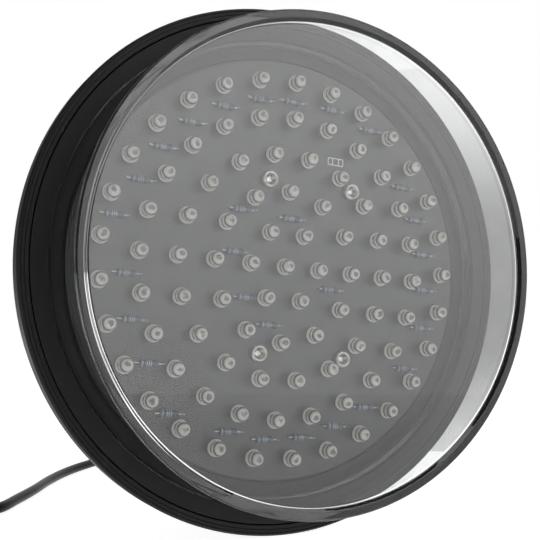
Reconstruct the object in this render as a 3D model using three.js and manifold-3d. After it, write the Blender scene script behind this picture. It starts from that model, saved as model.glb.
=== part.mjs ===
// Underwater pool light: a wide black mounting flange with a bowl behind it, a clear flat-fronted
// lens cup, a black board with 90 water-clear 5 mm LEDs in rings, the driver behind it, and a thin
// supply lead that leaves the back through a gland and ends in a waterproof connector.
//
// Millimetres. The light's axis is Y, and it faces -Y. +Z is up. The origin is the centre of the
// plane on which the back of the mounting flange sits, y = 0.

import * as THREE from 'three';
import { mergeVertices } from 'three/addons/utils/BufferGeometryUtils.js';
import Module from 'manifold-3d';

const wasm = await Module();
wasm.setup();

// ---------------------------------------------------------------- driving dimensions

const GAP = 0.3;                 // clearance between parts that touch
const ROUND = 48;                // sides of the large round parts
const SMALL_ROUND = 12;          // sides of screws, posts and other small round parts

const FLANGE_RADIUS = 89;        // 178 mm across, the 7 inch lamp size
const FLANGE_THICKNESS = 7;
const FLANGE_FLOOR = 2.2;        // thickness of the flange behind the lens foot
const FLANGE_BORE_RADIUS = 72.5;
const SHELL_SEAT_RADIUS = 80.4;  // the rear shell sits in a shallow recess of this radius
const SHELL_SEAT_DEPTH = 0.8;
const RIM_INNER_RADIUS = 85.4;

const LENS_RADIUS = 78.75;       // at the front; the side wall widens a little towards its foot
const LENS_BASE_RADIUS = 79.5;
const LENS_WALL = 2.7;
const LENS_WINDOW = 2.6;
const WINDOW_RADIUS = 75.1;      // the window sits a little back inside a raised rim
const WINDOW_RECESS = 0.7;
const LENS_DEPTH = 30.4;         // how far the lens stands in front of the flange
const LENS_EDGE = 0.8;           // rounding of the lens's front edge
const LENS_FOOT_RADIUS = 82;
const LENS_FOOT_THICKNESS = 1.5;

const SHELL_DEPTH = 58;          // behind the flange
const SHELL_WALL = 3;
const RIB_COUNT = 12;
const RIB_THICKNESS = 2.4;

const FLANGE_SCREW_COUNT = 6;
const FLANGE_SCREW_RADIUS = 83.75;   // distance of the screws from the axis

const BOARD_RADIUS = 71.5;
const BOARD_THICKNESS = 1.6;
const BOARD_FRONT = -2.7;        // y of the board's front face
const BOARD_TURN = THREE.MathUtils.degToRad(-4.1);
const BOARD_SCREWS = [[-6.85, 29.7], [25.35, 29.7], [25.35, -29.7], [-6.85, -29.7]];
const BOARD_HOLE_RADIUS = 1.8;

const LED_PITCH = 12.85;         // distance between rings of LEDs
const LED_RADIUS = 2.5;
const LED_HEIGHT = 7.2;
const LED_SIDES = 6;
const LED_RINGS = [
  { count: 6, startDegrees: 0 },
  { count: 12, startDegrees: 0 },
  { count: 18, startDegrees: 0 },
  { count: 24, startDegrees: 0 },
  { count: 29, startDegrees: 90 },
];
const LED_STRIP_WIDTH = 1.8;     // thin strip that ties one ring's LEDs together
const LED_STRIP_THICKNESS = 0.9;

const STANDOFF_FLATS = 5.5;
const DRIVER = { x: 9, z: 0, width: 52, height: 34, front: 42.4, thickness: 1.6 };
const DRIVER_SCREWS = [[-13, 0], [31, 0]];
const DRIVER_POST_RADIUS = 3.2;
const WIRE_DIAMETER = 1.6;

const GLAND = { x: 7, z: -36 };
const GLAND_HOLE_RADIUS = 6.4;
const GLAND_BODY_END = 66;
const GLAND_NUT_END = 78;
const RELIEF_END = 108;

const CABLE_DIAMETER = 4;
const CABLE_STEP = 10;           // length of one straight piece of the cable's tube
const FLOOR = -FLANGE_RADIUS;    // the surface that the flange's edge and the cable lie on
const COIL = { x: -117, y: 58, meanRadius: 23, halfWidth: 6, bottom: FLOOR + 1, height: 12 };
const TIE = { angleDegrees: 215, width: 5, thickness: 0.7 };
const PLUG = { x: -144, z: FLOOR + 9.2, start: 98 };

// The cable's route, from the end of the strain relief down to the floor and on to the coil.
const CABLE_ROUTE = [
  [7, RELIEF_END + GAP, -36], [7, 116, -36.5], [8, 126, -40], [12, 137, -49], [18, 147, -62],
  [24, 157, -75], [27, 168, -84], [24, 179, -86.7], [15, 186, -86.7], [3, 186, -86.7],
  [-9, 179, -86.7], [-20, 167, -86.7], [-36, 147, -86.7], [-50, 124, -86.7], [-61, 102, -86.7],
  [-71, 84, -86.7], [-79, 70.5, -86.7], [-85.7, 59, -86.5],
];

// From the coil's last turn up to the connector.
const TAIL_ROUTE = [
  [PLUG.x, 74.3, -78.5], [PLUG.x, 82, -79], [PLUG.x, 90, -79.5], [PLUG.x, PLUG.start - GAP, PLUG.z],
];

// ---------------------------------------------------------------- materials

function material(color, roughness, metalness = 0, opacity = 1) {
  return new THREE.MeshStandardMaterial({
    color, roughness, metalness, opacity, transparent: opacity < 1,
  });
}

const blackPlastic = material(0x1b1b1b, 0.5);
const blackRubber = material(0x161616, 0.8);
const clearPlastic = material(0xf4f7f8, 0.05, 0, 0.25);
const clearLed = material(0xe8e6dc, 0.15, 0, 0.6);
const boardBlack = material(0x17191a, 0.45);
const boardGreen = material(0x1f5a35, 0.5);
const steel = material(0xb9bcc0, 0.3, 1);
const brass = material(0xc9a257, 0.35, 1);
const seal = material(0x30343a, 0.75);
const redWire = material(0xa8211c, 0.5);
const blackWire = material(0x151515, 0.5);
const brownWire = material(0x5a3420, 0.5);
const blueWire = material(0x24508f, 0.5);
const capacitorSleeve = material(0x20242c, 0.35);
const terminalGreen = material(0x2b7d46, 0.45);
const cableSheath = material(0x191919, 0.55);

// ---------------------------------------------------------------- solids

/** Turns the faces outwards, whichever way round the outline was drawn. */
function facingOut(geometry) {
  const index = geometry.index.array;
  const p = geometry.attributes.position;
  const [a, b, c] = [new THREE.Vector3(), new THREE.Vector3(), new THREE.Vector3()];
  let volume = 0;
  for (let i = 0; i < index.length; i += 3) {
    a.fromBufferAttribute(p, index[i]);
    b.fromBufferAttribute(p, index[i + 1]);
    c.fromBufferAttribute(p, index[i + 2]);
    volume += a.dot(b.cross(c));
  }
  if (volume < 0) {
    for (let i = 0; i < index.length; i += 3) {
      [index[i], index[i + 1]] = [index[i + 1], index[i]];
    }
  }
  return geometry;
}

/** Makes a manifold solid of a closed three.js geometry. */
function solid(geometry) {
  const bare = geometry.clone();
  bare.deleteAttribute('normal');
  bare.deleteAttribute('uv');
  const merged = facingOut(mergeVertices(bare, 1e-4));
  return new wasm.Manifold(new wasm.Mesh({
    numProp: 3,
    vertProperties: new Float32Array(merged.attributes.position.array),
    triVerts: new Uint32Array(merged.index.array),
  }));
}

/** The solid's surface as a three.js geometry. */
function surface(body) {
  const mesh = body.getMesh();
  const geometry = new THREE.BufferGeometry();
  geometry.setAttribute('position', new THREE.BufferAttribute(new Float32Array(mesh.vertProperties), 3));
  geometry.setIndex(new THREE.BufferAttribute(new Uint32Array(mesh.triVerts), 1));
  geometry.computeVertexNormals();
  return geometry;
}

/** Revolves [radius, y] points about the Y axis through (x, z). */
function turned(points, sides = ROUND, x = 0, z = 0) {
  const profile = points.map(([radius, y]) => new THREE.Vector2(radius, y));
  return solid(new THREE.LatheGeometry(profile, sides).translate(x, 0, z));
}

/** Revolves a closed outline that doesn't reach the axis. */
function turnedRing(points, sides = ROUND, x = 0, z = 0) {
  return turned([...points, points[0]], sides, x, z);
}

/** A rod along Y. */
function rod(radius, yFrom, yTo, x = 0, z = 0, sides = SMALL_ROUND) {
  return turned([[0, yFrom], [radius, yFrom], [radius, yTo], [0, yTo]], sides, x, z);
}

/** A six-sided rod along Y, given the distance across its flats. */
function hexagon(acrossFlats, yFrom, yTo, x, z) {
  return rod(acrossFlats / Math.sqrt(3), yFrom, yTo, x, z, 6);
}

/** A flat shape in x and z, given thickness towards -Y from its back face. */
function plate(shape, thickness, yBack) {
  const geometry = new THREE.ExtrudeGeometry(shape, { depth: thickness, bevelEnabled: false });
  return solid(geometry.rotateX(Math.PI / 2).translate(0, yBack, 0));
}

function block(width, depth, height, x, y, z) {
  return solid(new THREE.BoxGeometry(width, depth, height).translate(x, y, z));
}

/** A round tube along a smooth line through the points. */
function tube(points, diameter, step, sides = 8) {
  const path = new THREE.CatmullRomCurve3(points.map((p) => new THREE.Vector3(...p)));
  const section = new THREE.Shape();
  for (let i = 0; i < sides; i += 1) {
    const angle = (2 * Math.PI * i) / sides;
    const [x, y] = [Math.cos(angle) * diameter / 2, Math.sin(angle) * diameter / 2];
    if (i === 0) section.moveTo(x, y);
    else section.lineTo(x, y);
  }
  section.closePath();
  const steps = Math.ceil(path.getLength() / step);
  return solid(new THREE.ExtrudeGeometry(section, { steps, extrudePath: path, curveSegments: sides }));
}

/** Turns a place on the board into the light's x and z. */
function onBoard(x, z) {
  const [c, s] = [Math.cos(BOARD_TURN), Math.sin(BOARD_TURN)];
  return [x * c - z * s, x * s + z * c];
}

const light = new THREE.Group();

function addPart(name, body, finish) {
  const mesh = new THREE.Mesh(surface(body), finish);
  mesh.name = name;
  light.add(mesh);
}

// ---------------------------------------------------------------- lens and its clamp ring

function lensCup() {
  const front = -FLANGE_THICKNESS - LENS_DEPTH;
  const window = front + WINDOW_RECESS;
  const footBack = -FLANGE_FLOOR - 1.6;
  const footFront = footBack - LENS_FOOT_THICKNESS;
  const inner = LENS_RADIUS - LENS_WALL;
  const back = window + LENS_WINDOW;
  const diagonal = LENS_EDGE * (1 - Math.SQRT1_2);
  return turned([
    [0, window],
    [WINDOW_RADIUS, window],
    [WINDOW_RADIUS + 1, front],
    [LENS_RADIUS - LENS_EDGE, front],
    [LENS_RADIUS - diagonal, front + diagonal],
    [LENS_RADIUS, front + LENS_EDGE],
    [LENS_BASE_RADIUS, footFront],
    [LENS_FOOT_RADIUS, footFront],
    [LENS_FOOT_RADIUS, footBack],
    [LENS_BASE_RADIUS - LENS_WALL, footBack],
    [inner, back + 1],
    [inner - 1, back],
    [0, back],
  ]);
}

function lensGasket() {
  const back = -FLANGE_FLOOR - GAP;
  return turnedRing([[76.5, back], [81.5, back], [81.5, back - 1], [76.5, back - 1]]);
}

/** The screws' places around the flange. */
function flangeScrewPlaces() {
  return Array.from({ length: FLANGE_SCREW_COUNT }, (_, i) => {
    const angle = (2 * Math.PI * i) / FLANGE_SCREW_COUNT;
    return [FLANGE_SCREW_RADIUS * Math.cos(angle), FLANGE_SCREW_RADIUS * Math.sin(angle)];
  });
}

/** Countersunk screw from the back of the flange into the clamp ring, grown to make its hole. */
function flangeScrew(x, z, grow = 0, top = -0.05) {
  const tip = -6.2 - grow;
  const [shank, head] = [0.75 + grow, 2.5 + grow];
  const outline = [[0, tip], [shank, tip], [shank, -1.6], [head, -0.1], [head, top], [0, top]];
  return turned(outline, SMALL_ROUND, x, z);
}

function clampRing() {
  const outer = RIM_INNER_RADIUS - GAP;
  const inner = LENS_BASE_RADIUS + GAP + 0.05;
  const aroundFoot = LENS_FOOT_RADIUS + GAP;
  const overFoot = -FLANGE_FLOOR - 1.6 - LENS_FOOT_THICKNESS - GAP;
  let ring = turnedRing([
    [inner, -FLANGE_THICKNESS], [outer, -FLANGE_THICKNESS], [outer, -FLANGE_FLOOR - GAP],
    [aroundFoot, -FLANGE_FLOOR - GAP], [aroundFoot, overFoot], [inner, overFoot],
  ]);
  for (const [x, z] of flangeScrewPlaces()) ring = ring.subtract(flangeScrew(x, z, GAP, 1));
  return ring;
}

// ---------------------------------------------------------------- flange and rear shell

function rib(angle) {
  const seat = GAP - SHELL_SEAT_DEPTH;
  const outline = new THREE.Shape([
    [74, seat], [SHELL_SEAT_RADIUS - 0.5, seat], [78, 12], [72.2, 31], [62.4, 46.2], [61, 44.6], [72.4, 14],
  ].map(([radius, y]) => new THREE.Vector2(radius, y)));
  const geometry = new THREE.ExtrudeGeometry(outline, { depth: RIB_THICKNESS, bevelEnabled: false });
  return solid(geometry.translate(0, 0, -RIB_THICKNESS / 2).rotateY(angle));
}

/** The mounting flange: a floor behind the lens's foot, a rim around it and a seat for the shell. */
function flange() {
  const body = turnedRing([
    [SHELL_SEAT_RADIUS, 0], [FLANGE_RADIUS, 0], [FLANGE_RADIUS, 0.8 - FLANGE_THICKNESS],
    [FLANGE_RADIUS - 0.8, -FLANGE_THICKNESS], [RIM_INNER_RADIUS, -FLANGE_THICKNESS],
    [RIM_INNER_RADIUS, -FLANGE_FLOOR], [FLANGE_BORE_RADIUS, -FLANGE_FLOOR],
    [FLANGE_BORE_RADIUS, -SHELL_SEAT_DEPTH], [SHELL_SEAT_RADIUS, -SHELL_SEAT_DEPTH],
  ]);
  return flangeScrewPlaces().reduce((rest, [x, z]) => rest.subtract(flangeScrew(x, z, GAP, 1)), body);
}

/** The bowl behind the flange, with a locating lip inside the flange's bore. */
function rearShell() {
  const back = SHELL_DEPTH;
  const seat = GAP - SHELL_SEAT_DEPTH;
  const lip = FLANGE_BORE_RADIUS - GAP;
  let body = turned([
    [0, back], [50, back], [55, 54], [62, 46], [70, 30], [75, 12], [76.4, seat], [lip, seat],
    [lip, -0.8], [lip - 2, -0.8], [lip - 2, 12], [67, 27], [59.4, 43], [52.8, 51.4],
    [48.5, back - SHELL_WALL], [0, back - SHELL_WALL],
  ]);
  for (let i = 0; i < RIB_COUNT; i += 1) body = body.add(rib((2 * Math.PI * (i + 0.5)) / RIB_COUNT));
  for (const [x, z] of DRIVER_SCREWS) {
    const postFront = DRIVER.front + DRIVER.thickness + GAP;
    body = body.add(rod(DRIVER_POST_RADIUS, postFront, back - 1, x, z));
    body = body.subtract(rod(1.6, postFront - 1, postFront + 7, x, z));
  }
  return body.subtract(rod(GLAND_HOLE_RADIUS, back - 5, back + 1, GLAND.x, GLAND.z));
}

// ---------------------------------------------------------------- LED board

function boardScrewPlaces() {
  return BOARD_SCREWS.map(([x, z]) => onBoard(x, z));
}

function ledBoard() {
  let board = rod(BOARD_RADIUS, BOARD_FRONT, BOARD_FRONT + BOARD_THICKNESS, 0, 0, ROUND);
  for (const [x, z] of boardScrewPlaces()) {
    board = board.subtract(rod(BOARD_HOLE_RADIUS, BOARD_FRONT - 1, BOARD_FRONT + 4, x, z));
  }
  return board;
}

function led(x, z) {
  const base = BOARD_FRONT - GAP;
  const tip = BOARD_FRONT - LED_HEIGHT;
  return turned([
    [0, base], [LED_RADIUS, base], [LED_RADIUS, tip + LED_RADIUS], [LED_RADIUS * 0.6, tip + 0.5], [0, tip],
  ], LED_SIDES, x, z);
}

/** Thin round strip through one ring's LEDs, pulled inwards where it passes a board screw. */
function ledStrip(radius) {
  const [dip, reach] = [4.8, THREE.MathUtils.degToRad(10)];
  const centreLine = (angle) => {
    let r = radius;
    for (const [x, z] of BOARD_SCREWS) {
      const near = Math.abs(Math.atan2(z, x) - angle);
      const close = Math.abs(Math.hypot(x, z) - radius) < 2 && near < reach;
      if (close) r -= dip * Math.cos((near / reach) * Math.PI / 2);
    }
    return r;
  };
  const outline = (offset) => Array.from({ length: 36 }, (_, i) => {
    const angle = (2 * Math.PI * i) / 36 - Math.PI;
    const r = centreLine(angle) + offset;
    return new THREE.Vector2(...onBoard(r * Math.cos(angle), r * Math.sin(angle)));
  });
  const shape = new THREE.Shape(outline(LED_STRIP_WIDTH / 2));
  shape.holes.push(new THREE.Path(outline(-LED_STRIP_WIDTH / 2)));
  return plate(shape, LED_STRIP_THICKNESS, BOARD_FRONT - GAP);
}

function ledRing(ring, number) {
  const radius = LED_PITCH * number;
  const leds = Array.from({ length: ring.count }, (_, i) => {
    const angle = THREE.MathUtils.degToRad(ring.startDegrees) - (2 * Math.PI * i) / ring.count;
    return led(...onBoard(radius * Math.cos(angle), radius * Math.sin(angle)));
  });
  return leds.reduce((sum, next) => sum.add(next), ledStrip(radius));
}

/** Pan-head screw through the board into a standoff. */
function boardScrew(x, z) {
  const face = BOARD_FRONT - GAP;
  return turned([
    [0, face - 1.8], [2, face - 1.8], [3, face - 1.1], [3, face], [1.4, face], [1.4, face + 8], [0, face + 8],
  ], SMALL_ROUND, x, z);
}

function standoff(x, z) {
  const front = BOARD_FRONT + BOARD_THICKNESS + GAP;
  return hexagon(STANDOFF_FLATS, front, SHELL_DEPTH - SHELL_WALL - GAP, x, z)
    .subtract(rod(1.7, front - 1, front + 9, x, z));
}

// ---------------------------------------------------------------- driver

function driverBoard() {
  let board = block(DRIVER.width, DRIVER.thickness, DRIVER.height, DRIVER.x,
    DRIVER.front + DRIVER.thickness / 2, DRIVER.z);
  for (const [x, z] of DRIVER_SCREWS) {
    board = board.subtract(rod(1.7, DRIVER.front - 1, DRIVER.front + DRIVER.thickness + 1, x, z));
  }
  return board;
}

function driverScrew(x, z) {
  const face = DRIVER.front - GAP;
  return turned([
    [0, face - 1.8], [2, face - 1.8], [2.8, face - 1], [2.8, face], [1.3, face], [1.3, face + 7],
    [0, face + 7],
  ], SMALL_ROUND, x, z);
}

/** A round component that stands on the driver board. */
function canOnDriver(radius, height, x, z) {
  return rod(radius, DRIVER.front - GAP - height, DRIVER.front - GAP, x, z, 16);
}

function blockOnDriver(width, depth, height, x, z) {
  return block(width, depth, height, x, DRIVER.front - GAP - depth / 2, z);
}

function inductor(x, z) {
  const back = DRIVER.front - GAP;
  return turnedRing([[3, back], [7, back], [7, back - 6], [3, back - 6]], 16, x, z);
}

function terminalBlock() {
  let body = blockOnDriver(12, 9, 8, 12, -11.5);
  for (const x of [9.5, 14.5]) body = body.subtract(block(3, 3, 5, x, DRIVER.front - 5, -14));
  return body;
}

/** The board's two leads and the supply's two cores, each with its route and its finish. */
const WIRES = [
  ['led_lead_positive', [[20, 42, -4], [20, 34, -5], [14, 22, -2], [6, 8, 5], [5, -0.7, 6]], redWire],
  ['led_lead_negative', [[25, 42, -4], [25, 33, -5], [20, 20, -2], [13, 7, 5], [12, -0.7, 6]], blackWire],
  ['supply_core_live', [[5, 45, -36], [5, 38, -33], [8, 36, -26], [9.5, 37.4, -19], [9.5, 37.4, -14.5]],
    brownWire],
  ['supply_core_neutral', [[9, 45, -36], [9, 39, -33], [12, 36, -26], [14.5, 37.4, -19], [14.5, 37.4, -14.5]],
    blueWire],
];

// ---------------------------------------------------------------- gland and cable

function glandBody() {
  const [inside, outside] = [SHELL_DEPTH - SHELL_WALL - 9, SHELL_DEPTH + GAP];
  const thread = rod(6, inside, outside + 1, GLAND.x, GLAND.z);
  const collar = hexagon(15, outside + 1.4, GLAND_BODY_END, GLAND.x, GLAND.z);
  const neck = rod(6, GLAND_BODY_END - 1, GLAND_BODY_END + 6, GLAND.x, GLAND.z);
  return thread.add(collar).add(rod(6, outside, outside + 2, GLAND.x, GLAND.z)).add(neck)
    .subtract(rod(4.2, inside - 1, GLAND_BODY_END + 8, GLAND.x, GLAND.z));
}

function glandLocknut() {
  const back = SHELL_DEPTH - SHELL_WALL - GAP;
  return hexagon(17, back - 4, back, GLAND.x, GLAND.z)
    .subtract(rod(6.4, back - 5, back + 1, GLAND.x, GLAND.z, 24));
}

function glandWasher() {
  const front = SHELL_DEPTH + GAP;
  const outline = [[6.5, front], [8.4, front], [8.4, front + 1.1], [6.5, front + 1.1]];
  return turnedRing(outline, 24, GLAND.x, GLAND.z);
}

function glandSeal() {
  const [from, to] = [GLAND_BODY_END - 4, GLAND_BODY_END + 5.5];
  return turnedRing([[2.4, from], [3.8, from], [3.8, to], [2.4, to]], SMALL_ROUND, GLAND.x, GLAND.z);
}

function glandNut() {
  const from = GLAND_BODY_END + GAP;
  const hex = hexagon(15, from, from + 7, GLAND.x, GLAND.z);
  const dome = turned([
    [0, from + 6], [7, from + 6], [6.4, from + 9.5], [4.4, GLAND_NUT_END], [0, GLAND_NUT_END],
  ], 16, GLAND.x, GLAND.z);
  return hex.add(dome)
    .subtract(rod(6.4, from - 1, from + 6.4, GLAND.x, GLAND.z))
    .subtract(rod(3.4, from, GLAND_NUT_END + 1, GLAND.x, GLAND.z));
}

/** The end of the cable that passes through the strain relief and the gland into the shell. */
function cableEntry() {
  return rod(CABLE_DIAMETER / 2, SHELL_DEPTH - 11, RELIEF_END, GLAND.x, GLAND.z, 8);
}

/** Tapered bend relief around the cable, held in the gland's nut. */
function strainRelief() {
  const from = GLAND_NUT_END - 5;
  return turnedRing([
    [2.4, from], [3.1, from], [3.1, GLAND_NUT_END + GAP], [4.2, GLAND_NUT_END + GAP],
    [4.2, GLAND_NUT_END + 3], [2.9, RELIEF_END], [2.4, RELIEF_END],
  ], SMALL_ROUND, GLAND.x, GLAND.z);
}

function coil() {
  const inner = COIL.meanRadius - COIL.halfWidth;
  const outer = COIL.meanRadius + COIL.halfWidth;
  const [low, high] = [0, COIL.height];
  const section = [
    [inner + 2, low], [outer - 2, low], [outer, low + 2], [outer, high - 2], [outer - 2, high],
    [inner + 2, high], [inner, high - 2], [inner, low + 2], [inner + 2, low],
  ].map(([r, y]) => new THREE.Vector2(r, y));
  const geometry = new THREE.LatheGeometry(section, 28).rotateX(Math.PI / 2);
  return solid(geometry.translate(COIL.x, COIL.y, COIL.bottom));
}

/** A strap around the coil's turns. */
function coilTie() {
  const half = COIL.halfWidth + GAP;
  const around = (grow) => [
    [-half - grow, -GAP - grow], [half + grow, -GAP - grow], [half + grow, COIL.height + GAP + grow],
    [-half - grow, COIL.height + GAP + grow],
  ].map(([x, y]) => new THREE.Vector2(x, y));
  const shape = new THREE.Shape(around(TIE.thickness));
  shape.holes.push(new THREE.Path(around(0)));
  const angle = THREE.MathUtils.degToRad(TIE.angleDegrees);
  const geometry = new THREE.ExtrudeGeometry(shape, { depth: TIE.width, bevelEnabled: false })
    .translate(0, 0, -TIE.width / 2)
    .rotateX(Math.PI / 2)
    .rotateZ(angle)
    .translate(COIL.meanRadius * Math.cos(angle), COIL.meanRadius * Math.sin(angle), 0)
    .translate(COIL.x, COIL.y, COIL.bottom);
  return solid(geometry);
}

// ---------------------------------------------------------------- connector

function plugBoot() {
  const y = PLUG.start;
  const outline = [[0, y], [3, y], [3.4, y + 4], [5.8, y + 17], [5.8, y + 20], [0, y + 20]];
  return turned(outline, 16, PLUG.x, PLUG.z);
}

const PLUG_CONTACTS = [-2.2, 2.2];

function plugBody() {
  const y = PLUG.start + 20 + GAP;
  let body = turned([
    [0, y], [7.2, y], [7.2, y + 9], [5, y + 9], [5, y + 15], [5.9, y + 15], [5.9, y + 17.5], [4.6, y + 17.5],
    [4.6, y + 20], [5.2, y + 20], [5.2, y + 24], [0, y + 24],
  ], 24, PLUG.x, PLUG.z);
  for (const x of PLUG_CONTACTS) body = body.subtract(rod(1.4, y + 15, y + 25, PLUG.x + x, PLUG.z));
  return body;
}

function plugContact(offset) {
  const y = PLUG.start + 20 + GAP;
  const outline = [[0.6, y + 15.3], [1.1, y + 15.3], [1.1, y + 23.8], [0.6, y + 23.8]];
  return turnedRing(outline, 10, PLUG.x + offset, PLUG.z);
}

function plugSeal() {
  const y = PLUG.start + 20 + GAP + 18.2;
  return turnedRing([[4.9, y], [5.6, y], [5.6, y + 1.4], [4.9, y + 1.4]], 24, PLUG.x, PLUG.z);
}

/** Knurled nut that turns on the connector's body, held behind its collar. */
function couplingNut() {
  const y = PLUG.start + 20 + GAP + 9 + GAP;
  return turnedRing([
    [5.4, y], [8.4, y], [9, y + 0.8], [9, y + 11], [8.4, y + 12], [6.5, y + 12], [6.5, y + 5], [5.4, y + 5],
  ], 24, PLUG.x, PLUG.z);
}

// ---------------------------------------------------------------- assembly

addPart('lens_cup', lensCup(), clearPlastic);
addPart('lens_gasket', lensGasket(), seal);
addPart('clamp_ring', clampRing(), blackPlastic);
addPart('flange', flange(), blackPlastic);
addPart('rear_shell', rearShell(), blackPlastic);
flangeScrewPlaces().forEach(([x, z], i) => addPart(`flange_screw_${i + 1}`, flangeScrew(x, z), steel));

addPart('led_board', ledBoard(), boardBlack);
addPart('led_centre', led(0, 0), clearLed);
LED_RINGS.forEach((ring, i) => addPart(`led_ring_${i + 1}`, ledRing(ring, i + 1), clearLed));
boardScrewPlaces().forEach(([x, z], i) => {
  addPart(`board_screw_${i + 1}`, boardScrew(x, z), steel);
  addPart(`board_standoff_${i + 1}`, standoff(x, z), brass);
});

addPart('driver_board', driverBoard(), boardGreen);
DRIVER_SCREWS.forEach(([x, z], i) => addPart(`driver_screw_${i + 1}`, driverScrew(x, z), steel));
addPart('driver_capacitor_1', canOnDriver(5, 16, -4, 9), capacitorSleeve);
addPart('driver_capacitor_2', canOnDriver(5, 16, -4, -9), capacitorSleeve);
addPart('driver_inductor', inductor(24, 9), brass);
addPart('bridge_rectifier', blockOnDriver(11, 4, 9, 10, 9), blackPlastic);
addPart('terminal_block', terminalBlock(), terminalGreen);
for (const [name, route, finish] of WIRES) addPart(name, tube(route, WIRE_DIAMETER, 6, 6), finish);

addPart('gland_body', glandBody(), blackPlastic);
addPart('gland_locknut', glandLocknut(), blackPlastic);
addPart('gland_washer', glandWasher(), seal);
addPart('gland_seal', glandSeal(), seal);
addPart('gland_nut', glandNut(), blackPlastic);
addPart('strain_relief', strainRelief(), blackRubber);

addPart('cable_entry', cableEntry(), cableSheath);
addPart('cable', tube(CABLE_ROUTE, CABLE_DIAMETER, CABLE_STEP), cableSheath);
addPart('cable_coil', coil(), cableSheath);
addPart('coil_tie', coilTie(), blackRubber);
addPart('cable_tail', tube(TAIL_ROUTE, CABLE_DIAMETER, CABLE_STEP), cableSheath);
addPart('plug_boot', plugBoot(), blackRubber);
addPart('plug_body', plugBody(), blackPlastic);
PLUG_CONTACTS.forEach((offset, i) => addPart(`plug_contact_${i + 1}`, plugContact(offset), brass));
addPart('plug_seal', plugSeal(), seal);
addPart('coupling_nut', couplingNut(), blackPlastic);

export default light;
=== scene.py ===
"""The looks of an underwater pool light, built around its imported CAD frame.

Lengths are in millimetres in the light's own frame, and turned into metres where an object is made.
The light's axis is Y, it faces -Y, +Z is up, and y = 0 is the seat behind the flange.
"""

import math

import bmesh
import bpy
from mathutils import Matrix, Vector

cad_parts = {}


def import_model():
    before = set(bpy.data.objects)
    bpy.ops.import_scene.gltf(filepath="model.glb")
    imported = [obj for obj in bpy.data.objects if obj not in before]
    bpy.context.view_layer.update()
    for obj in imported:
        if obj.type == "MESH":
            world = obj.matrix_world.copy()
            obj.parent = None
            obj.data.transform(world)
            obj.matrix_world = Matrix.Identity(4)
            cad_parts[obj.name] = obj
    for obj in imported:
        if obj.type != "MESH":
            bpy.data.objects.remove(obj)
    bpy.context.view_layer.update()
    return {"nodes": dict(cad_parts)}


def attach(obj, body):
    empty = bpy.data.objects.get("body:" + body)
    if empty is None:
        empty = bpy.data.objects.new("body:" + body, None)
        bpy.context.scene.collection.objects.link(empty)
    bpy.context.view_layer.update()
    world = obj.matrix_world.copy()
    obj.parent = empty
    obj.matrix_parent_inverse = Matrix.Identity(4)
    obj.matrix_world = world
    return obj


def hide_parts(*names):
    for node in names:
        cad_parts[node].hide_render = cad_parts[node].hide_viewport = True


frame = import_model()

MM = 0.001
CORNER = math.radians(40)        # edges sharper than this stay sharp
NOISE_RANGE = (0.3, 0.7)         # what noise mostly keeps to, between 0 and 1
LIGHT = "light"

# ------------------------------------------------------------------ driving sizes

GAP = 0.3                        # between pieces that touch

FLANGE_RADIUS = 89.0
FLANGE_FRONT = -7.0
FLANGE_FLOOR = -2.2
FLANGE_HOLE_RADIUS = 72.5
RIM_INNER_RADIUS = 85.4
RIM_GROOVES = (88.05, 86.9)

LENS_RADIUS = 78.75
LENS_BASE_RADIUS = 79.5
LENS_WALL = 2.7
LENS_WINDOW = 2.6
LENS_INNER_FILLET = 1.0
LENS_FRONT = -37.4
LENS_EDGE = 0.6
WINDOW_RADIUS = 74.9
WINDOW_RECESS = 0.7
WINDOW_SLOPE = 1.2               # how far the step up to the rim leans out
LENS_FOOT_RADIUS = 82.0
LENS_FOOT_FRONT = -5.3
LENS_FOOT_BACK = -3.8
SHELL_SEAT_RADIUS = 80.4
SHELL_SEAT = -0.5

BOARD_RADIUS = 71.5
BOARD_FRONT = -2.7
BOARD_BACK = -1.1
BOARD_TURN = math.radians(-4.1)
# The board's own x and z of each screw.
BOARD_SCREWS = [(-6.85, 29.7), (25.35, 29.7), (25.35, -29.7), (-6.85, -29.7)]
FLANGE_SCREW_COUNT = 6
FLANGE_SCREW_RADIUS = 83.75

LED_PITCH = 12.85
# How many LEDs are in each ring, from the middle out, and the first one's angle.
LED_RINGS = [(6, 0), (12, 0), (18, 0), (24, 0), (29, 90)]
LED_RADIUS = 2.5
LED_RIM_RADIUS = 2.9
LED_HEIGHT = 7.2                 # from the board to the tip
LED_STANDOFF = 1.6               # from the board to the LED's base
LED_RING_SPACING = 1.9
LED_RING_DEPTH = 0.12            # as a share of the LED's radius

RESISTOR_LENGTH = 6.3
RESISTOR_RADIUS = 1.15
RESISTOR_WAIST = RESISTOR_RADIUS - 0.2
RESISTOR_SPAN = 9.6              # between the bends of its leads
# Each arc's first angle, step between angles, count, first radius and growth in radius.
RESISTOR_ARCS = [
    (102.4, 13.5, 5, 58, -0.2),
    (169.9, 0, 1, 61, 0),
    (187.7, 15.2, 3, 55, 1),
    (233.9, 0, 1, 62.6, 0),
    (253.8, 13.45, 5, 58, 0),
    (328.3, 15.7, 2, 60, 0),
    (357.5, 12.9, 4, 58, 0),
    (59.2, 15.5, 3, 62, -2),
]
# The board's own x and z of the other resistors.
INNER_RESISTORS = [(-16.5, 18), (2, 17), (-18, 3.5), (19, -6), (-13, -11.5), (-4, -20)]
OUTLINE_PLACE = (19.0, 39.8)     # the board's own x and z of the printed outline

SHELL_BACK = 58.0
RIB_COUNT = 12
RIB_THICKNESS = 2.4
DRIVER_POSTS = [(-13.0, 0.0), (31.0, 0.0)]
GLAND = (7.0, -36.0)             # x and z of its axis
GLAND_BODY_END = 66.0
GLAND_NUT_END = 78.0
RELIEF_END = 108.0

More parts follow.
